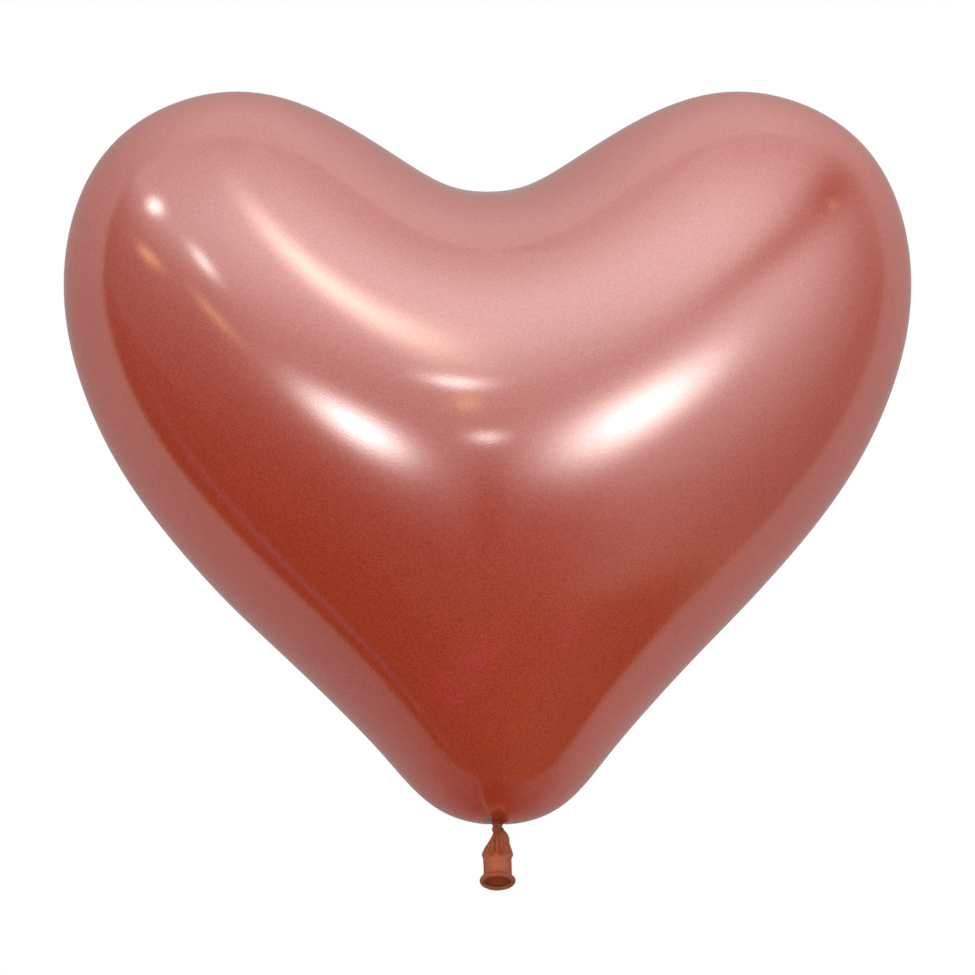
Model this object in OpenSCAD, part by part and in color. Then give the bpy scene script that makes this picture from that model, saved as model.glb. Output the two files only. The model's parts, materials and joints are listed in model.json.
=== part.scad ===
// Heart-shaped latex balloon, inflated and tied.
// One dipped latex skin: an inflated heart, a gathered throat, an overhand knot and a loose neck.
// Millimetres. +Z points up through the heart and the front of the heart faces -Y.
// The origin is the centre of the throat's lower face, where a ribbon is tied above the knot.

/* [Heart] */
// Width of the inflated heart across its two lobes
heart_w = 355; // [300:5:400]
// Depth of the inflated heart from front to back
heart_d = 196; // [150:2:230]
// Thickness of the stretched skin
skin_wall = 0.03; // [0.03:0.01:0.2]
// How far the tip leans to the right of the heart's own centre line
tip_lean = 4.2; // [0:0.2:8]

/* [Knot] */
// Diameter of the knot over its wrapped loop
knot_d = 5.2; // [4.6:0.1:5.8]
// Thickness of the loop that wraps the knot
loop_d = 1.7; // [1.2:0.1:2]
// Slant of the wrapped loop from the neck's axis
loop_slant = 32; // [0:2:50]

/* [Neck] */
// Angle at which the neck hangs forward of straight down
neck_tilt = 28; // [0:1:35]
// Length from the knot's centre to the end of the neck
neck_len = 25; // [22:0.5:30]
// Outside diameter of the neck's tube
tube_d = 12; // [10:0.5:13]
// Thickness of the unstretched latex in the neck
neck_wall = 0.3; // [0.2:0.05:0.5]
// Diameter over the pleated skirt at its widest
skirt_d = 13; // [12.5:0.5:15]
// Diameter over the rolled lip
lip_d = 15; // [14.5:0.5:17]
// Height of the rolled lip along the neck
lip_h = 2; // [1.6:0.1:2.4]

/* [Hidden] */
$fn = 64;

skin_color = [0.77, 0.47, 0.43];
neck_color = [0.62, 0.32, 0.22];

// The heart's edge is a smooth curve round its centre. These radii steer it, one every 10 degrees
// from the tip (0 degrees) up one side to the cleft (180 degrees). They are for a heart 355 wide.
EDGE_RADII = [151, 148, 130, 121, 117, 117, 121, 128, 139, 154, 171, 189, 203, 210, 202, 183, 145, 118, 114];
EDGE_STEP = 10;
EDGE_LAST = len(EDGE_RADII) - 1;
EDGE_WIDTH = 355;

heart_scale = heart_w / EDGE_WIDTH;
half_depth = heart_d / 2;
center_z = 149.2 * heart_scale;  // height of the heart's centre above the throat
lean_z = 105 * heart_scale;      // height below which the tip leans
tip_thinning = 0.42;             // how much flatter the heart is above its tip
cleft_filling = 0.5;             // how much fuller the heart is below its cleft
side_angles = 48;                // facets round the skin
ring_count = 38;                 // rings from the throat to the cleft

throat_r = 2.2;                  // radius of the hole in the skin, which the throat closes
throat_h = 4;
pucker_depth = 3;                // the skin is drawn in round the throat
pucker_r = 3.2;

joint_gap = 0.25;                // clear space between the knot and its two neighbours
knot_reach = knot_d / 2;
knot_z = -(knot_reach + joint_gap);
core_r = knot_reach - 0.4;

skirt_start = knot_reach + joint_gap;
skirt_end = 11.6;
skirt_steps = 10;
shoulder_end = 12.6;             // the skirt steps in to the tube between here and its widest
tube_r = tube_d / 2;
bore_r = tube_r - neck_wall;
skirt_r = skirt_d / 2;
skirt_top_r = 1.9;
lip_r = lip_d / 2;
mouth_bevel = 0.2;               // the bore's edge is eased over this length at the mouth

// Radius that steers the heart's edge, counted past either end by mirroring
function edge_control(i) =
    EDGE_RADII[i < 0 ? -i : i > EDGE_LAST ? 2 * EDGE_LAST - i : i] * heart_scale;

// Distance from the heart's centre to its edge, at an angle from the tip (cubic B-spline)
function edge_radius(angle) =
    let (i = min(floor(angle / EDGE_STEP), EDGE_LAST - 1), f = angle / EDGE_STEP - i)
    (pow(1 - f, 3) * edge_control(i - 1)
     + (3 * pow(f, 3) - 6 * f * f + 4) * edge_control(i)
     + (-3 * pow(f, 3) + 3 * f * f + 3 * f + 1) * edge_control(i + 1)
     + pow(f, 3) * edge_control(i + 2)) / 6;

// A hump that is 1 where angle = at, and falls to 0 at the given width to either side
function hump(angle, at, width) =
    abs(angle - at) >= width ? 0 : pow(cos(90 * (angle - at) / width), 2);

// Departure of the heart's depth from a plain ellipse, positive where it is flatter
function thinning(angle) =
    tip_thinning * hump(angle, 0, 60) - cleft_filling * hump(angle, 180, 40);

function lean_at(z) =
    let (t = min(max(1 - z / lean_z, 0), 1))
    tip_lean * (t * t * (3 - 2 * t) - 1);

// Direction from the heart's centre. polar runs from the tip to the cleft, side runs round Z.
function ray(polar, side) =
    let (flat = 1 - (1 - heart_d / heart_w) * pow(sin(polar), 2))
    [sin(polar) * cos(side), flat * sin(polar) * sin(side), -cos(polar)];

// Point of the skin in that direction, moved inwards by inset
function skin_point(polar, side, inset) =
    let (
        d = ray(polar, side),
        in_plane = d.x * d.x + d.z * d.z,
        share = in_plane / (d * d),
        angle = atan2(abs(d.x), -d.z),
        bulge = d.y * d.y / pow(half_depth, 2) * (1 + thinning(angle) * share),
        reach = norm(d) / sqrt(bulge + in_plane / pow(edge_radius(angle), 2)),
        off_axis = reach * norm([d.x, d.y]) / norm(d),
        pucker = polar > 90 ? 0 : pucker_depth * exp(-pow(off_axis / pucker_r, 2)),
        outer = d * (reach - pucker) / norm(d),
        p = outer * (1 - inset / norm(outer)),
        lean = lean_at(outer.z + center_z)
    )
    [p.x + lean, p.y, p.z + center_z];

// Rings crowd together near the throat, where the skin is drawn in
function ring_angle(i) =
    let (first = asin(throat_r / center_z))
    first + (180 - first) * pow(i / ring_count, 1.3);

function skin_ring(i, inset) =
    [for (j = [0 : side_angles - 1]) skin_point(ring_angle(i), 360 * j / side_angles, inset)];

// Two triangles between ring a and ring b, in one order or the other
function strip(a, b, outward) =
    [for (j = [0 : side_angles - 1])
        let (k = (j + 1) % side_angles, p = a + j, q = a + k, r = b + k, s = b + j)
        each (outward ? [[p, r, q], [p, s, r]] : [[p, q, r], [p, r, s]])];

function cap(ring, pole, outward) =
    [for (j = [0 : side_angles - 1])
        let (k = (j + 1) % side_angles)
        outward ? [ring + j, pole, ring + k] : [ring + j, ring + k, pole]];

// The inflated skin, one closed surface: up the outside, and back down the inside to the throat
module envelope() {
    layer = ring_count * side_angles;
    outer_pole = 2 * layer;
    inner_pole = outer_pole + 1;
    points = concat(
        [for (i = [0 : ring_count - 1]) each skin_ring(i, 0)],
        [for (i = [0 : ring_count - 1]) each skin_ring(i, skin_wall)],
        [skin_point(180, 0, 0), skin_point(180, 0, skin_wall)]
    );
    faces = concat(
        [for (i = [0 : ring_count - 2]) each strip(i * side_angles, (i + 1) * side_angles, true)],
        cap((ring_count - 1) * side_angles, outer_pole, true),
        [for (i = [0 : ring_count - 2])
            each strip(layer + i * side_angles, layer + (i + 1) * side_angles, false)],
        cap(layer + (ring_count - 1) * side_angles, inner_pole, false),
        strip(0, layer, false)
    );
    color(skin_color) polyhedron(points, faces, convexity = 6);
}

// The gathered latex that plugs the hole in the skin
module throat() {
    color(neck_color)
        rotate_extrude()
            polygon([[0, 0], [1.8, 0], [2.5, 0.5], [2.6, 1.2], [1.6, 2.6], [0.8, throat_h], [0, throat_h]]);
}

// Everything below is drawn with its own +Z running out of the neck's mouth
module along_neck() {
    translate([0, 0, knot_z]) rotate([180 - neck_tilt, 0, 0]) children();
}

// The stem inside the knot
module core_ball() {
    sphere(r = core_r);
}

module knot_core() {
    color(neck_color) along_neck() core_ball();
}

// The loop that the neck is pulled through
module knot_loop() {
    color(neck_color)
        along_neck()
            difference() {
                rotate([0, loop_slant, 0])
                    rotate_extrude()
                        translate([knot_reach - loop_d / 2, 0]) circle(d = loop_d);
                core_ball();
            }
}

// Radius of the pleated skirt, swelling from the knot to its widest
function skirt_radius(f) = skirt_top_r + (skirt_r - skirt_top_r) * pow(sin(90 * f), 0.9);

// The loose end of the neck: a pleated skirt that opens from the knot, and a short open tube
module neck_tail() {
    skirt = [for (i = [0 : skirt_steps])
        let (f = i / skirt_steps)
        [skirt_radius(f), skirt_start + f * (skirt_end - skirt_start)]];
    lining = [for (i = [skirt_steps : -1 : 2])
        [skirt[i].x - 1.6 * neck_wall, skirt[i].y + neck_wall]];
    color(neck_color)
        along_neck()
            rotate_extrude()
                polygon(concat(
                    [[0, skirt_start]],
                    skirt,
                    [[tube_r, shoulder_end], [tube_r, neck_len]],
                    [[bore_r + mouth_bevel / 2, neck_len], [bore_r, neck_len - mouth_bevel]],
                    [[bore_r, shoulder_end + neck_wall]],
                    lining,
                    [[0, lining[len(lining) - 1].y - 2 * neck_wall]]
                ));
}

// The bead rolled outwards round the end of the tube
module rolled_lip() {
    bead_mid = tube_r + (lip_r - tube_r) - lip_h / 2;
    color(neck_color)
        along_neck()
            difference() {
                translate([0, 0, neck_len - lip_h / 2])
                    rotate_extrude() translate([bead_mid, 0]) circle(d = lip_h);
                cylinder(r = tube_r, h = neck_len + lip_h);
            }
}

envelope();
throat();
knot_core();
knot_loop();
neck_tail();
rolled_lip();
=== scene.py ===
"""Heart-shaped chrome latex balloon: the looks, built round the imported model.

Lengths are in metres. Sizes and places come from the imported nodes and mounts, or are written in
millimetres and scaled by MM. The heart faces -Y, and +Z runs up from the knot to the cleft.
"""
import json
import math

import bpy
import numpy as np
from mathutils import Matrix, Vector


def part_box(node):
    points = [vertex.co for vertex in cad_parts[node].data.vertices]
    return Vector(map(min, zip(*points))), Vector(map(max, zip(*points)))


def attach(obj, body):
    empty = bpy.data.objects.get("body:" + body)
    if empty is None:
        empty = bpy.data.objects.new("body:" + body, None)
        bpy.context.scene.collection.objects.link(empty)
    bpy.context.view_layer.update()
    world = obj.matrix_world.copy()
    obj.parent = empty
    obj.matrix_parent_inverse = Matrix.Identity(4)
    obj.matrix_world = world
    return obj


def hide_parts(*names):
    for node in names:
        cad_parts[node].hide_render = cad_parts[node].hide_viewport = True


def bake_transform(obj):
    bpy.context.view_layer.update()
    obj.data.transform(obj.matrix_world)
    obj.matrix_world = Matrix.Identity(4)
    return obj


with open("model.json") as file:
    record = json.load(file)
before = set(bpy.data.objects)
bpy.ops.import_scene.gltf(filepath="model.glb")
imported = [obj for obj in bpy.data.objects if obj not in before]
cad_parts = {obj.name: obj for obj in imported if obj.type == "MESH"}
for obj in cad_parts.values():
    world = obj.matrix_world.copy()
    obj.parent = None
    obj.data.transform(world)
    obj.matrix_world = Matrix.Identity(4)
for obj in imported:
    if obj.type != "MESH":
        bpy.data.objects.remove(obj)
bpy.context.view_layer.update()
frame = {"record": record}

MM = 0.001

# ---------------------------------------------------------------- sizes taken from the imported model

ENV_LOW, ENV_HIGH = (np.array(c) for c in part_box("envelope"))
HEART_W = ENV_HIGH[0] - ENV_LOW[0]
HALF_DEPTH = (ENV_HIGH[1] - ENV_LOW[1]) / 2
MOUNTS = {m["name"]: m for m in frame["record"]["mounts"]}
KNOT = np.array(frame["record"]["behaviour"]["joints"][0]["pos_m"], float)
NECK_AXIS = np.array(MOUNTS["neck_mouth"]["axis"], float)
BORE_R = MOUNTS["neck_mouth"]["dims"]["r_mm"] * MM
MOUTH_S = float(np.dot(np.array(MOUNTS["neck_mouth"]["pos_m"], float) - KNOT, NECK_AXIS))

# ---------------------------------------------------------------- the heart's shape

# Radii that steer the heart's edge, one every 10 degrees from the tip up to the cleft. Same curve
# as the CAD envelope, in millimetres on a heart 355 wide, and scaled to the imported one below.
EDGE_RADII = [151, 148, 130, 121, 117, 117, 121, 128, 139, 154,
              171, 189, 203, 210, 202, 183, 145, 118, 114]
EDGE_STEP = 10
TIP_LEAN = 4.2 * MM              # the tip leans to +X of the heart's own centre line
THROAT_R = 2.2 * MM
EDGE_POINTS = 720                # where the film's height is held at nothing
CENTRE_EVERY = 5                 # edge points to one log centre
CLEAR_OF_EDGE = 18               # how far outside the edge the log centres stand


def steered_radius(angle):
    """Distance from the heart's centre to its edge in steering units, degrees from the tip."""
    angle = np.abs((np.asarray(angle, float) + 180) % 360 - 180)
    last = len(EDGE_RADII) - 1
    i = np.minimum((angle // EDGE_STEP).astype(int), last - 1)
    f = angle / EDGE_STEP - i
    mirrored = EDGE_RADII[1:2] + EDGE_RADII + [EDGE_RADII[last - 1], EDGE_RADII[last - 2]]
    padded = np.array(mirrored, float)
    weights = ((1 - f) ** 3, 3 * f**3 - 6 * f**2 + 4, -3 * f**3 + 3 * f**2 + 3 * f + 1, f**3)
    return sum(w * padded[i + k] for k, w in enumerate(weights)) / 6


TURN = np.arange(0, 180, 0.5)
HEART_UNIT = HEART_W / (2 * (steered_radius(TURN) * np.sin(np.radians(TURN))).max())
CENTRE_Z = 149.2 * HEART_UNIT    # the heart's centre above the throat
LEAN_Z = 105 * HEART_UNIT        # the lean is taken up below this height


def film_solver():
    """The height of a pressed film stretched over the heart's edge.

    Squared height falls off like a film under even pressure. It is -r^2 plus a smooth field, and
    the field is a sum of logarithms centred on a ring of points just outside the edge, fitted so
    that the height is nothing all along the edge.
    """
    angle = np.arange(EDGE_POINTS) * 360 / EDGE_POINTS
    r = steered_radius(angle)
    edge = np.stack([r * np.sin(np.radians(angle)), -r * np.cos(np.radians(angle))], 1)
    along = np.roll(edge, -1, 0) - np.roll(edge, 1, 0)
    outward = np.stack([along[:, 1], -along[:, 0]], 1)
    outward /= np.linalg.norm(outward, axis=1)[:, None]
    centres = (edge + CLEAR_OF_EDGE * outward)[::CENTRE_EVERY]
    logs = np.log(((edge[:, None] - centres) ** 2).sum(-1))
    table = np.hstack([logs, np.ones((EDGE_POINTS, 1))])
    strengths = np.linalg.lstsq(table, (edge**2).sum(1), rcond=1e-12)[0]

    def squared_height(x, z):
        total = np.full(x.shape, strengths[-1]) - x * x - z * z
        for (cx, cz), s in zip(centres, strengths):
            total += s * np.log((x - cx) ** 2 + (z - cz) ** 2)
        return total

    middle = np.linspace(-60, 60, 241)
    peak = squared_height(0 * middle, middle).max()
    half_depth = HALF_DEPTH / HEART_UNIT

    def scaled(x, z):
        """Squared half thickness in square metres at x, z in metres from the heart's centre."""
        squared = squared_height(x / HEART_UNIT, z / HEART_UNIT)
        return squared * (half_depth**2 / peak) * HEART_UNIT**2

    return scaled


def smoothstep(t):
    t = np.clip(t, 0, 1)
    return t * t * (3 - 2 * t)


def lean_at(z):
    return TIP_LEAN * (smoothstep(1 - z / LEAN_Z) - 1)


# ---------------------------------------------------------------- mesh helpers

def smooth_object(name, points, faces):
    mesh = bpy.data.meshes.new(name)
    mesh.from_pydata(points.tolist(), [], faces)
    mesh.update()
    mesh.shade_smooth()
    obj = bpy.data.objects.new(name, mesh)
    bpy.context.scene.collection.objects.link(obj)
    return obj


def vertex_numbers(rings):
    """The number of each vertex of rings, an array (ring, side, xyz)."""
    ring_count, side_count = rings.shape[:2]
    return np.arange(ring_count * side_count).reshape(ring_count, side_count)


def capped_skin(name, rings):
    """A skin over rings, an array (ring, side, xyz), with a fan over either end."""
    index = vertex_numbers(rings)
    a, b = index[:-1], index[1:]
    quads = np.stack([a, np.roll(a, -1, 1), np.roll(b, -1, 1), b], -1).reshape(-1, 4)
    first_hub = index.size
    last_hub = index.size + 1
    first_fan = [[first_hub, int(q), int(p)] for p, q in zip(index[0], np.roll(index[0], -1))]
    last_fan = [[last_hub, int(p), int(q)] for p, q in zip(index[-1], np.roll(index[-1], -1))]
    points = np.vstack([rings.reshape(-1, 3), rings[0].mean(0), rings[-1].mean(0)])
    return smooth_object(name, points, quads.tolist() + first_fan + last_fan)


def ring_skin(name, rings):
    """A skin closed both ways over rings, an array (ring, side, xyz)."""
    index = vertex_numbers(rings)
    b = np.roll(index, -1, 0)
    quads = np.stack([index, b, np.roll(b, -1, 1), np.roll(index, -1, 1)], -1).reshape(-1, 4)
    return smooth_object(name, rings.reshape(-1, 3), quads.tolist())


def apply_modifiers(obj):
    graph = bpy.context.evaluated_depsgraph_get()
    mesh = bpy.data.meshes.new_from_object(obj.evaluated_get(graph))
    obj.modifiers.clear()
    obj.data = mesh
    mesh.shade_smooth()


def finish_piece(obj, material):
    obj.data.materials.clear()
    obj.data.materials.append(material)
    return obj


# ---------------------------------------------------------------- the inflated skin

SKIN_RINGS = 190
SKIN_SIDES = 288                 # a multiple of four
RING_CROWDING = 1.3              # more than one brings the rings closer together at the throat
HALVINGS = 30                    # of the search along each ray
PUCKER_DEPTH = 0.8 * MM
PUCKER_R = 3.2 * MM
GATHERS = 11
GATHER_DEPTH = 0.2 * MM
GATHER_R = 5 * MM                # where the gathers are deepest
GATHER_SPREAD = 3.4 * MM


def ray_directions(polar, side):
    """Rays from the heart's centre, by angle from the tip and angle round it, pressed flat in Y."""
    flat = 1 - (1 - 2 * HALF_DEPTH / HEART_W) * np.sin(polar) ** 2
    dx = np.sin(polar) * np.cos(side)
    dy = flat * np.sin(polar) * np.sin(side)
    dz = -np.cos(polar) * np.ones_like(side)
    return dx, dy, dz


def skin_distances(polar, side):
    """Distance from the centre to the film, along rays in one quarter turn of sides."""
    squared = film_solver()
    dx, dy, dz = ray_directions(polar, side)
    in_plane = np.hypot(dx, dz)
    angle = np.degrees(np.arctan2(dx, -dz))
    far = steered_radius(angle) * HEART_UNIT / np.maximum(in_plane, 1e-9)
    far = np.minimum(far, 1.1 * HALF_DEPTH / np.maximum(dy, 1e-9))
    near = np.zeros_like(far)
    for _ in range(HALVINGS):
        middle = (near + far) / 2
        inside = (middle * dy) ** 2 < squared(middle * dx, middle * dz)
        near = np.where(inside, middle, near)
        far = np.where(inside, far, middle)
    return (near + far) / 2 * np.sqrt(dx**2 + dy**2 + dz**2)


def heart_skin(material):
    first = math.asin(THROAT_R / CENTRE_Z)
    steps = np.arange(SKIN_RINGS) / SKIN_RINGS
    polar = (first + (math.pi - first) * steps**RING_CROWDING)[:, None]
    quarter = np.linspace(0, math.pi / 2, SKIN_SIDES // 4 + 1)[None, :]
    reach = skin_distances(polar, quarter)
    half = np.hstack([reach, reach[:, -2::-1]])
    reach = np.hstack([half, half[:, -2:0:-1]])
    side = (np.arange(SKIN_SIDES) * 2 * math.pi / SKIN_SIDES)[None, :]
    ray = np.stack(ray_directions(polar, side), -1)
    ray /= np.linalg.norm(ray, axis=-1)[..., None]
    off = reach * np.hypot(ray[..., 0], ray[..., 1])
    below = polar < math.pi / 2
    reach = reach - below * (gathers(off, side) + tip_folds(off * np.cos(side), off * np.sin(side)))
    points = ray * reach[..., None]
    points[..., 2] += CENTRE_Z
    points[..., 0] += lean_at(points[..., 2])
    skin = capped_skin("heart_skin", points)
    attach(skin, "heart")
    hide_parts("envelope")
    return finish_piece(skin, material)


def gathers(off, side):
    """How far the skin is drawn in round the throat: a dimple, and small folds fanning out."""
    dimple = PUCKER_DEPTH * np.exp(-((off / PUCKER_R) ** 2))
    fan = (1 + np.cos(GATHERS * side + 1.3 * np.sin(2 * side))) * GATHER_DEPTH
    return dimple + fan * np.exp(-(((off - GATHER_R) / GATHER_SPREAD) ** 2))


def tip_folds(x, y):
    """The folds that the knot pulls in the front of the tip: a groove, and a ridge left of it."""
    ahead = -y / MM
    across = x / MM
    width = 1.2 + 3.8 * np.exp(-np.clip(ahead, 0, None) / 8)
    groove = 0.55 * np.exp(-(((across - 0.4) / width) ** 2))
    groove = groove * smoothstep((ahead - 3) / 8) * smoothstep((30 - ahead) / 16)
    ridge_line = -1.6 - 0.26 * (ahead - 20)
    ridge = 0.40 * np.exp(-(((across - ridge_line) / 1.5) ** 2))
    ridge = ridge * smoothstep((ahead - 12) / 8) * smoothstep((44 - ahead) / 16)
    return (groove - ridge) * MM


# ---------------------------------------------------------------- the neck

NECK_X = np.array([1.0, 0.0, 0.0])
NECK_Y = np.cross(NECK_AXIS, NECK_X)
TUBE_END = MOUTH_S - 1.4 * MM     # inside the bead
WALL = 0.3 * MM
TUBE_R = BORE_R + WALL
NECK_SIDES = 240


def along_neck(s, r, side):
    """Points at distance s from the knot's centre along the neck, at radius r and angle side."""
    s, r, side = np.broadcast_arrays(s, r, side)
    return (
        KNOT
        + s[..., None] * NECK_AXIS
        + (r * np.cos(side))[..., None] * NECK_X
        + (r * np.sin(side))[..., None] * NECK_Y
    )


def curve_through(stations, s):
    """Smooth value at s through (place, value) pairs, both in millimetres."""
    places = np.array([p for p, _ in stations], float)
    values = np.array([v for _, v in stations], float)
    slopes = np.gradient(values, places)
    i = np.clip(np.searchsorted(places, s, side="right") - 1, 0, len(places) - 2)
    h = places[i + 1] - places[i]
    t = np.clip((s - places[i]) / h, 0, 1)
    return (
        (2 * t**3 - 3 * t**2 + 1) * values[i]
        + (t**3 - 2 * t**2 + t) * h * slopes[i]
        + (-2 * t**3 + 3 * t**2) * values[i + 1]
        + (t**3 - t**2) * h * slopes[i + 1]
    )


# Outer radius of the neck's loose end along its axis, in millimetres from the knot's centre
SKIRT = [(0.4, 1.6), (1.6, 2.0), (3.0, 2.5), (5.0, 3.6), (7.0, 4.75), (9.0, 5.8), (10.6, 6.35),
         (11.7, 6.5), (12.3, 6.2), (13.2, 6.02), (16.0, 5.92), (19.0, 5.9), (21.5, 5.95),
         (25.0, 6.0)]

# Folds of the skirt: where each valley lies round the neck, in degrees from +X towards the front,
# and how deep it is as a share of the radius. The first five face the front.
VALLEYS = [(135, 0.32), (110, 0.30), (76, 0.28), (50, 0.28), (27, 0.22), (348, 0.24), (322, 0.18),
           (294, 0.28), (265, 0.20), (239, 0.26), (211, 0.18), (184, 0.24), (157, 0.16)]
VALLEY_WIDTH = 9.0


def folds(s, side):
    """Share of the radius by which the skirt's valleys draw it in, each a little wavy along s."""
    total = 0
    for k, (angle, depth) in enumerate(VALLEYS):
        bend = 2.5 * math.sin(1.7 * k) * np.sin(s * 0.45 + k)
        apart = (np.degrees(side) - angle - bend + 180) % 360 - 180
        total = total + depth * np.exp(-((apart / VALLEY_WIDTH) ** 2))
    return total


def neck_skirt(material):
    """The pleated skirt and the tube, as a thin skin with an outside and an inside.

    s is the distance from the knot's centre. It is in millimetres, as are radius, dip, puff and
    swell. outer and inner are in metres.
    """
    side = (np.arange(NECK_SIDES) * 2 * math.pi / NECK_SIDES)[None, :]
    s = np.concatenate([np.linspace(0.4, 13.4, 110), np.linspace(13.6, TUBE_END / MM, 40)])[:, None]
    # the skirt reaches further down the front than the back
    front = np.clip(np.sin(side), 0, 1) ** 1.5
    dip = 4.6 * front * smoothstep((s - 6) / 6) * smoothstep((23 - s) / 5)
    radius = curve_through(SKIRT, s - dip)
    # the skirt puffs out on the +X side, right up to the knot
    puff = np.clip(np.cos(side), 0, 1) ** 1.5 * 2.1 * np.exp(-(((s - 3.0) / 3.4) ** 2))
    pleat = 1 - folds(s, side) * smoothstep((s - 0.4) / 1.6) * smoothstep((11.6 + dip - s) / 5)
    wave = 0.010 * np.sin(3 * side + s * 0.35) + 0.007 * np.sin(5 * side - s * 0.6)
    swell = 0.4 * front * np.exp(-(((s - dip - 10.5) / 1.6) ** 2))
    outer = (radius + puff + swell) * pleat * (1 + wave * smoothstep((s - 9) / 4)) * MM
    end_blend = smoothstep((s * MM - (TUBE_END - 3 * MM)) / (2 * MM))
    outer = outer * (1 - end_blend) + TUBE_R * end_blend
    inner = outer - WALL
    inside = s[:, 0] >= 5
    rings_out = along_neck(s * MM, outer, side)
    rings_in = along_neck((s * MM)[inside], inner[inside], side)[::-1]
    tail = capped_skin("neck_skirt", np.concatenate([rings_out, rings_in]))
    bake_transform(tail)
    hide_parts("neck_tail")
    return finish_piece(tail, material)


BEAD_MIDDLE_R = 6.42             # in millimetres, as is the next
BEAD_ROLL_R = 1.10


def lip_bead(material):
    """The rolled bead round the mouth: an uneven ring, with the last turn of its roll showing."""
    side = (np.arange(NECK_SIDES) * 2 * math.pi / NECK_SIDES)[:, None]
    around = (np.arange(40) * 2 * math.pi / 40)[None, :]
    middle_r = BEAD_MIDDLE_R + 0.05 * np.sin(2 * side + 0.5)
    roll = BEAD_ROLL_R * (1 + 0.03 * np.sin(3 * side) + 0.02 * np.sin(7 * side + 1))
    groove = 0.07 * np.exp(-(((np.degrees(around) - 130 + 180) % 360 - 180) / 16) ** 2)
    roll = roll - groove
    r = (middle_r + roll * 0.95 * np.cos(around)) * MM
    # the ring sits a little askew on the tube, pushed back at the front
    s = TUBE_END - 0.38 * np.sin(side) * MM + roll * 1.02 * np.sin(around) * MM
    r, s, turn = np.broadcast_arrays(r, s, side)
    rings = along_neck(s, r, turn)
    bead = ring_skin("lip_bead", rings)
    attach(bead, "tail")
    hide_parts("rolled_lip")
    return finish_piece(bead, material)


# In millimetres. The strand's farthest turn is three times KNOT_SIZE from the neck's axis.
KNOT_SIZE = 0.57
STRAND_R = 1.07


def knot_strands(material):
    """The overhand knot pulled tight: one strand that winds twice round and three times through."""
    turns = np.linspace(0, 2 * math.pi, 240, endpoint=False)
    r = (2 + np.cos(3 * turns)) * KNOT_SIZE
    rise = 1.15 * KNOT_SIZE * np.sin(3 * turns)
    path = np.stack([r * np.cos(2 * turns), r * np.sin(2 * turns), rise], 1)
    ahead = np.roll(path, -1, 0) - np.roll(path, 1, 0)
    ahead /= np.linalg.norm(ahead, axis=1)[:, None]
    up = np.cross(ahead, np.stack([np.cos(2 * turns), np.sin(2 * turns), 0 * turns], 1))
    up /= np.linalg.norm(up, axis=1)[:, None]
    out = np.cross(up, ahead)
    around = (np.arange(36) * 2 * math.pi / 36)[None, :]
    crease = 1 + 0.05 * np.cos(6 * around + 4 * turns[:, None])
    tube = STRAND_R * crease
    # the strand is pressed a little flat
    rings = (
        path[:, None]
        + (tube * np.cos(around))[..., None] * out[:, None] * 0.9
        + (tube * np.sin(around))[..., None] * up[:, None] * 0.82
    ) * MM
    placed = KNOT + rings @ np.stack([NECK_X, NECK_Y, NECK_AXIS])
    knot = ring_skin("knot_strands", placed)
    remesh = knot.modifiers.new("one_skin", "REMESH")
    remesh.mode = "VOXEL"
    remesh.voxel_size = 0.09 * MM
    smooth = knot.modifiers.new("soften", "SMOOTH")
    smooth.factor = 0.5
    smooth.iterations = 3
    apply_modifiers(knot)
    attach(knot, "knot")
    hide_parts("knot_core", "knot_loop")
    return finish_piece(knot, material)


# Radius of the gathered throat at heights above the throat's plane, both in millimetres
THROAT = [(-2.6, 1.0), (-1.4, 1.9), (0.0, 2.2), (0.8, 2.0), (1.6, 1.3), (2.4, 0.5)]


def throat_gather(material):
    """The gathered latex between the heart and the knot."""
    side = (np.arange(96) * 2 * math.pi / 96)[None, :]
    z = np.linspace(THROAT[0][0], THROAT[-1][0], 40)[:, None]
    radius = curve_through(THROAT, z)
    creases = 1 + 0.07 * np.cos(9 * side + 0.5 * z) * smoothstep((2 - z) / 2)
    r = radius * creases * MM
    rings = np.stack(np.broadcast_arrays(r * np.cos(side), r * np.sin(side), z * MM), -1)
    throat = capped_skin("throat_gather", rings)
    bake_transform(throat)
    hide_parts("throat")
    return finish_piece(throat, material)


# ---------------------------------------------------------------- materials

def new_material(name):
    material = bpy.data.materials.new(name)
    material.use_nodes = True
    nodes = material.node_tree.nodes
    return material, nodes, material.node_tree.links, nodes["Principled BSDF"]


def noise(nodes, links, source, scale, detail=2.0, roughness=0.5):
    node = nodes.new("ShaderNodeTexNoise")
    node.inputs["Scale"].default_value = scale
    node.inputs["Detail"].default_value = detail
    node.inputs["Roughness"].default_value = roughness
    links.new(source, node.inputs["Vector"])
    return node.outputs["Fac"]


def ramp(nodes, links, value, stops):
    node = nodes.new("ShaderNodeValToRGB")
    elements = node.color_ramp.elements
    while len(elements) < len(stops):
        elements.new(0.5)
    for element, (position, colour) in zip(elements, stops):
        element.position = position
        element.color = (*colour, 1.0)
    links.new(value, node.inputs["Fac"])
    return node.outputs["Color"]


def bump(nodes, links, height, distance, strength):
    node = nodes.new("ShaderNodeBump")
    node.inputs["Distance"].default_value = distance
    node.inputs["Strength"].default_value = strength
    links.new(height, node.inputs["Height"])
    return node.outputs["Normal"]


def mix_colour(nodes, links, factor, a, b):
    node = nodes.new("ShaderNodeMix")
    node.data_type = "RGBA"
    links.new(factor, node.inputs["Factor"])
    for socket, value in (("A", a), ("B", b)):
        if isinstance(value, tuple):
            node.inputs[socket].default_value = value
        else:
            links.new(value, node.inputs[socket])
    return node.outputs["Result"]


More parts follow.
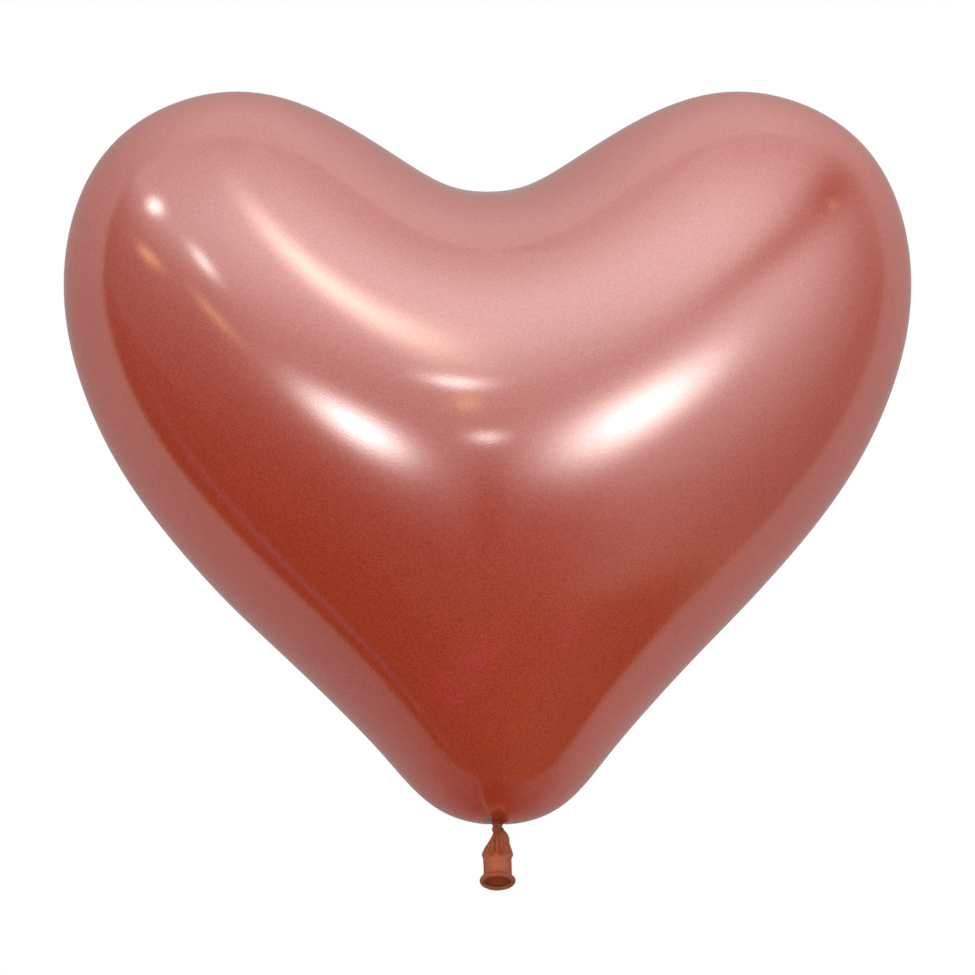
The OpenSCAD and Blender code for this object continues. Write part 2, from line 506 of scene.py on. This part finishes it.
def chrome_latex():
    """Copper-orange latex under a bright, slightly pearly metallic sheen."""
    material, nodes, links, shader = new_material("chrome_latex")
    place = nodes.new("ShaderNodeTexCoord").outputs["Object"]
    cloud = noise(nodes, links, place, 9, 2.0)
    flake = noise(nodes, links, place, 1300, 1.0, 0.6)
    deep = ramp(nodes, links, cloud, [(0.3, (0.38, 0.028, 0.006)), (0.7, (0.42, 0.034, 0.008))])
    pale = ramp(nodes, links, cloud, [(0.3, (0.43, 0.050, 0.019)), (0.7, (0.47, 0.056, 0.022))])
    flake_share = ramp(nodes, links, flake, [(0.32, (0.0, 0.0, 0.0)), (0.68, (1.0, 1.0, 1.0))])
    flecked = mix_colour(nodes, links, flake_share, deep, pale)
    # The throat is darker: partly the slack latex's own tone, partly painted shade where the skin
    # dives into the throat.
    stretched = stretch_and_shade_mask(nodes, links, place)
    slack_and_shaded = (0.20, 0.013, 0.006, 1.0)
    colour = mix_colour(nodes, links, stretched, slack_and_shaded, flecked)
    links.new(colour, shader.inputs["Base Color"])
    links.new(bump(nodes, links, flake, 0.00004, 0.28), shader.inputs["Normal"])
    sparkle = ramp(nodes, links, flake, [(0.35, (0.10, 0.10, 0.10)), (0.65, (0.0, 0.0, 0.0))])
    links.new(sparkle, shader.inputs["Metallic"])
    shader.inputs["Roughness"].default_value = 0.10
    shader.inputs["IOR"].default_value = 3.1
    return material


def stretch_and_shade_mask(nodes, links, place):
    """0 at the throat, where the latex is hardly stretched and darker, rising to 1 on the heart. The
    darker colour is partly the latex's own and partly painted shade in the pucker where the skin
    dives into the throat.
    """
    squeeze = nodes.new("ShaderNodeMapping")
    squeeze.inputs["Scale"].default_value = (1.0, 0.08, 0.55)
    links.new(place, squeeze.inputs["Vector"])
    distance = nodes.new("ShaderNodeVectorMath")
    distance.operation = "LENGTH"
    links.new(squeeze.outputs["Vector"], distance.inputs[0])
    fade = nodes.new("ShaderNodeMapRange")
    fade.interpolation_type = "SMOOTHSTEP"
    fade.inputs["From Min"].default_value = 3.0 * MM
    fade.inputs["From Max"].default_value = 6.0 * MM
    links.new(distance.outputs["Value"], fade.inputs["Value"])
    return fade.outputs["Result"]


def neck_latex(name, tone_share=1.0):
    """Unstretched latex: dull, with fine grain, in patches of a darker and a lighter tone."""
    material, nodes, links, shader = new_material(name)
    place = nodes.new("ShaderNodeTexCoord").outputs["Object"]
    patches = noise(nodes, links, place, 260, 3.0)
    grain = noise(nodes, links, place, 4200, 2.0)
    dark = tuple(tone_share * c for c in (0.20, 0.052, 0.023))
    light = tuple(tone_share * c for c in (0.25, 0.070, 0.033))
    tone = ramp(nodes, links, patches, [(0.3, dark), (0.7, light)])
    links.new(tone, shader.inputs["Base Color"])
    links.new(bump(nodes, links, grain, 0.00003, 0.4), shader.inputs["Normal"])
    shader.inputs["Roughness"].default_value = 0.5
    shader.inputs["IOR"].default_value = 1.4
    shader.inputs["Specular IOR Level"].default_value = 0.3
    shader.inputs["Subsurface Weight"].default_value = 0.6
    shader.inputs["Subsurface Radius"].default_value = (1.0, 0.35, 0.2)
    shader.inputs["Subsurface Scale"].default_value = 1.8 * MM
    return material


# ---------------------------------------------------------------- studio

class SkyGraph:
    """Small helper that writes arithmetic on the world's direction as nodes."""

    def __init__(self, tree):
        self.nodes = tree.nodes
        self.links = tree.links

    def put(self, socket, value):
        if isinstance(value, (int, float)):
            socket.default_value = value
        else:
            self.links.new(value, socket)

    def math(self, operation, a, b=0.0, c=0.0):
        node = self.nodes.new("ShaderNodeMath")
        node.operation = operation
        for socket, value in zip(node.inputs, (a, b, c)):
            self.put(socket, value)
        return node.outputs[0]

    def step(self, value, low, high):
        """0 at low, 1 at high, smooth between."""
        node = self.nodes.new("ShaderNodeMapRange")
        node.interpolation_type = "SMOOTHSTEP"
        self.put(node.inputs["Value"], value)
        node.inputs["From Min"].default_value = min(low, high)
        node.inputs["From Max"].default_value = max(low, high)
        if low > high:
            node.inputs["To Min"].default_value = 1.0
            node.inputs["To Max"].default_value = 0.0
        return node.outputs["Result"]

    def lerp(self, low, high, t):
        """low + t * (high - low)"""
        span = self.math("SUBTRACT", high, low)
        return self.math("ADD", low, self.math("MULTIPLY", t, span))

    def dot(self, direction, axis):
        node = self.nodes.new("ShaderNodeVectorMath")
        node.operation = "DOT_PRODUCT"
        self.links.new(direction, node.inputs[0])
        node.inputs[1].default_value = axis
        return node.outputs["Value"]

    def profile(self, elevation, stops):
        """Brightness at an elevation in degrees, straight between the stops."""
        node = self.nodes.new("ShaderNodeValToRGB")
        elements = node.color_ramp.elements
        while len(elements) < len(stops):
            elements.new(0.5)
        for element, (angle, level) in zip(elements, stops):
            element.position = angle / 180 + 0.5
            element.color = (level, level, level, 1.0)
        self.put(node.inputs["Fac"], self.math("MULTIPLY_ADD", elevation, 1 / 180, 0.5))
        return node.outputs["Color"]

    def colour(self, red, green, blue):
        node = self.nodes.new("ShaderNodeCombineColor")
        for socket, value in zip(node.inputs, (red, green, blue)):
            self.put(socket, value)
        return node.outputs["Color"]


def aim(azimuth, elevation):
    """Unit vector, azimuth in degrees from -Y towards +X."""
    a, e = math.radians(azimuth), math.radians(elevation)
    return Vector((math.sin(a) * math.cos(e), -math.cos(a) * math.cos(e), math.sin(e)))


# Brightness of the room, as (degrees above the ceiling's edge, level): left of the camera, round it
LEFT_WALL = [(-66, 0.03), (-50, 0.07), (-30, 0.15), (-18, 0.22),
             (-7, 0.38), (-1, 0.62), (4, 0.86), (60, 0.82)]
CAMERA_WALL = [(-75, 0.04), (-45, 0.08), (-35, 0.13), (-25, 0.29),
               (-15, 0.46), (-3, 0.55), (5, 0.72), (18, 0.92)]
# and, as (degrees above level, level), right of it
RIGHT_WALL = [(-50, 0.06), (-45, 0.06), (-41, 0.20), (-20, 0.26), (0, 0.33), (20, 0.48), (60, 0.86)]
# and beyond the balloon
BACKDROP = [(-60, 0.16), (-45, 0.29), (-22, 0.40), (0, 0.45), (25, 0.58), (50, 0.80), (70, 1.00)]

# Dark things: azimuth, elevation, half length, half width and slant in degrees, and the share of
# light they leave. Two bars high on the right, the right wall's far end, and the camera's stand.
DARK_SPOTS = [
    (80, 40, 22, 9, 4, 0.36),
    (45, 30, 24, 7.5, 18, 0.50),
    (95, 10, 40, 16, 90, 0.72),
    (0, -17, 14, 4.5, 90, 0.55),
]

WHITE = (1.0, 0.98, 0.96)
CREAM = (1.0, 0.87, 0.66)
AMBER = (1.0, 0.62, 0.20)
ROSE = (0.30, 0.0, 0.12)
LAVENDER = (0.5, 0.6, 1.0)

# Lamps and windows: azimuth, elevation, half length, half width and slant in degrees, level, colour
LAMPS = [
    (-23, -3, 7.5, 5.0, -28, 4.8, WHITE),
    (-22, -8, 15.0, 10.0, -28, 0.3, WHITE),
    (26, -1, 12.0, 8.0, 20, 4.2, WHITE),
    (32, -16, 16.0, 8.0, -10, 0.20, WHITE),
    (43, 11, 28.0, 28.0, 0, 0.70, WHITE),
    (4, 50, 40.0, 22.0, 0, 0.55, WHITE),
    (-12, 42, 15.0, 4.2, -66, 2.3, CREAM),
    (-70, 37, 3.9, 2.6, 0, 4.2, WHITE),
    (-45, 27, 4.2, 1.8, -42, 2.9, WHITE),
    (-4, 18, 3.2, 1.7, 0, 3.7, WHITE),
    (0, 0.5, 2.6, 1.3, 0, 3.8, WHITE),
    (-68, 20, 5.5, 1.7, -14, 1.5, AMBER),
    (-45, 12, 6.0, 1.5, -42, 1.0, AMBER),
    (-3, 11, 2.6, 1.6, 80, 1.2, AMBER),
    (78, 35, 2.4, 1.8, 0, 1.2, AMBER),
    (-41, -62, 9.0, 4.0, 8, 0.50, ROSE),
    (-7, -54, 8.0, 3.0, 20, 0.60, ROSE),
    (44, -48, 6.0, 2.0, -10, 0.60, ROSE),
    (-84, -42, 26.0, 1.4, 90, 0.16, LAVENDER),
]


class Patch:
    """A soft oval of the room, by its angles."""

    def __init__(self, azimuth, elevation, half_length, half_width, slant):
        self.middle = aim(azimuth, elevation)
        right = Vector((0, 0, 1)).cross(self.middle).normalized()
        over = self.middle.cross(right)
        tilt = math.radians(slant)
        self.long_axis = right * math.cos(tilt) + over * math.sin(tilt)
        self.short_axis = over * math.cos(tilt) - right * math.sin(tilt)
        self.half_length = math.sin(math.radians(half_length))
        self.half_width = math.sin(math.radians(half_width))

    def strength(self, sky, direction):
        """1 at the middle, fading softly all round."""
        a = sky.math("DIVIDE", sky.dot(direction, self.long_axis), self.half_length)
        b = sky.math("DIVIDE", sky.dot(direction, self.short_axis), self.half_width)
        square = sky.math("ADD", sky.math("MULTIPLY", a, a), sky.math("MULTIPLY", b, b))
        facing = sky.math("GREATER_THAN", sky.dot(direction, self.middle), 0.0)
        fade = sky.math("EXPONENT", sky.math("MULTIPLY", square, -1.0))
        return sky.math("MULTIPLY", fade, facing)


def room_colour(sky, direction):
    """What the skin mirrors: the walls by azimuth and elevation, then the lamps on top."""
    x, y, z = (sky.dot(direction, axis) for axis in ((1, 0, 0), (0, 1, 0), (0, 0, 1)))
    azimuth = sky.math("DEGREES", sky.math("ARCTAN2", x, sky.math("MULTIPLY", y, -1.0)))
    elevation = sky.math("DEGREES", sky.math("ARCSINE", z))
    # the ceiling's edge rises to both sides
    aside = sky.math("ABSOLUTE", sky.math("ADD", azimuth, 5))
    over_edge = sky.math("SUBTRACT", elevation, sky.math("MULTIPLY_ADD", aside, 0.28, 14))
    walls = sky.lerp(
        sky.profile(over_edge, LEFT_WALL),
        sky.profile(over_edge, CAMERA_WALL),
        sky.step(azimuth, -55, -22),
    )
    walls = sky.lerp(walls, sky.profile(elevation, RIGHT_WALL), sky.step(azimuth, 15, 55))
    warm_floor = sky.math("MULTIPLY", walls, sky.lerp(0.5, 1.0, sky.step(elevation, -60, -28)))

    rightward = sky.lerp(0.90, 1.06, sky.step(x, -1, 1))
    beyond = sky.math("MULTIPLY", sky.profile(elevation, BACKDROP), rightward)
    # whatever holds the neck up is dark, straight below
    below = Patch(180, -80, 40, 14, 90).strength(sky, direction)
    beyond = sky.math("MULTIPLY", beyond, sky.lerp(1.0, 0.08, below))
    past_side = sky.math("MAXIMUM", sky.step(azimuth, -94, -99), sky.step(azimuth, 104, 111))
    level = sky.lerp(walls, beyond, past_side)

    channels = [level, level, sky.lerp(warm_floor, level, past_side)]
    for *oval, lamp_level, colour in LAMPS:
        glow = Patch(*oval).strength(sky, direction)
        for i, share in enumerate(colour):
            added = sky.math("MULTIPLY", glow, share * lamp_level)
            channels[i] = sky.math("ADD", channels[i], added)
    for *oval, share in DARK_SPOTS:
        left = sky.lerp(1.0, share, Patch(*oval).strength(sky, direction))
        channels = [sky.math("MULTIPLY", channel, left) for channel in channels]
    return sky.colour(*channels)


def studio_world():
    """White backdrop for the camera, soft fill for dull surfaces, a room for the reflections."""
    world = bpy.data.worlds.new("studio")
    bpy.context.scene.world = world
    world.use_nodes = True
    # dull and glossy surfaces see different rooms, so the room is only met by the rays they send
    world.cycles.sampling_method = "NONE"
    tree = world.node_tree
    tree.nodes.clear()
    sky = SkyGraph(tree)
    direction = tree.nodes.new("ShaderNodeTexCoord").outputs["Generated"]
    # the fill is stronger from the camera's side, from the right and from above
    fill = sky.math("ADD", sky.dot(direction, (0.14, -0.85, 0.07)), 0.81)

    room_light = background(tree, room_colour(sky, direction))
    fill_light = background(tree, sky.colour(fill, fill, fill))
    backdrop = background(tree, (1.0, 1.0, 1.0, 1.0))
    rays = tree.nodes.new("ShaderNodeLightPath")
    shown = mix_shader(tree, rays.outputs["Is Diffuse Ray"], room_light, fill_light)
    shown = mix_shader(tree, rays.outputs["Is Camera Ray"], shown, backdrop)
    output = tree.nodes.new("ShaderNodeOutputWorld")
    tree.links.new(shown, output.inputs["Surface"])


def background(tree, colour):
    node = tree.nodes.new("ShaderNodeBackground")
    if isinstance(colour, tuple):
        node.inputs["Color"].default_value = colour
    else:
        tree.links.new(colour, node.inputs["Color"])
    return node.outputs["Background"]


def mix_shader(tree, factor, a, b):
    node = tree.nodes.new("ShaderNodeMixShader")
    tree.links.new(factor, node.inputs["Fac"])
    tree.links.new(a, node.inputs[1])
    tree.links.new(b, node.inputs[2])
    return node.outputs["Shader"]


FLOOR_SIZE = 4.0
FLOOR_Z = -0.5


def studio_floor():
    bpy.ops.mesh.primitive_plane_add(size=FLOOR_SIZE, location=(0, 0, FLOOR_Z))
    floor = bpy.context.object
    floor.name = "studio_floor"
    floor.visible_glossy = False
    material, _, _, shader = new_material("pale_floor")
    shader.inputs["Base Color"].default_value = (0.93, 0.93, 0.93, 1.0)
    shader.inputs["Roughness"].default_value = 0.8
    floor.data.materials.append(material)


def soft_light(name, place, target, size, watts, lit_pieces):
    """A round lamp whose light is kept to the given pieces."""
    data = bpy.data.lights.new(name, "AREA")
    data.shape = "DISK"
    data.size = size
    data.energy = watts
    lamp = bpy.data.objects.new(name, data)
    lamp.location = place
    lamp.rotation_euler = (Vector(target) - Vector(place)).to_track_quat("-Z", "Y").to_euler()
    lamp.visible_glossy = False
    bpy.context.scene.collection.objects.link(lamp)
    lit = bpy.data.collections.new(name + "_lit")
    for piece in lit_pieces:
        lit.objects.link(piece)
    lamp.light_linking.receiver_collection = lit


CAMERA_AWAY = 2.2
CAMERA_HEIGHT = 140.3 * MM
FRAMED_WIDTH = 408.1 * MM        # what the picture spans at the heart


def studio_camera():
    """Level with the middle of the heart, far off with a long lens."""
    data = bpy.data.cameras.new("camera")
    data.sensor_width = 36
    data.lens = data.sensor_width * CAMERA_AWAY / FRAMED_WIDTH
    data.clip_end = 50
    camera = bpy.data.objects.new("camera", data)
    camera.location = (-TIP_LEAN, -CAMERA_AWAY, CAMERA_HEIGHT)
    camera.rotation_euler = (math.radians(90), 0, 0)
    bpy.context.scene.collection.objects.link(camera)
    bpy.context.scene.camera = camera


# ---------------------------------------------------------------- the scene

studio_camera()
studio_world()
studio_floor()
bpy.context.scene.view_settings.view_transform = "Standard"

skin_material = chrome_latex()
neck_material = neck_latex("neck_latex")
heart_skin(skin_material)
neck_pieces = [make(neck_material) for make in (throat_gather, knot_strands, neck_skirt)]
# The bead's latex is a copy of the neck's at 0.72 of its tone: the whole bead is painted darker, as
# painted shade.
neck_pieces.append(lip_bead(neck_latex("rolled_latex", tone_share=0.72)))
neck_middle = KNOT + 15 * MM * NECK_AXIS
soft_light("neck_light", (-0.05, -0.36, 0.14), neck_middle, 0.08, 1.1, neck_pieces)
soft_light("mouth_light", (-0.02, -0.30, -0.20), neck_middle, 0.10, 0.45, neck_pieces)
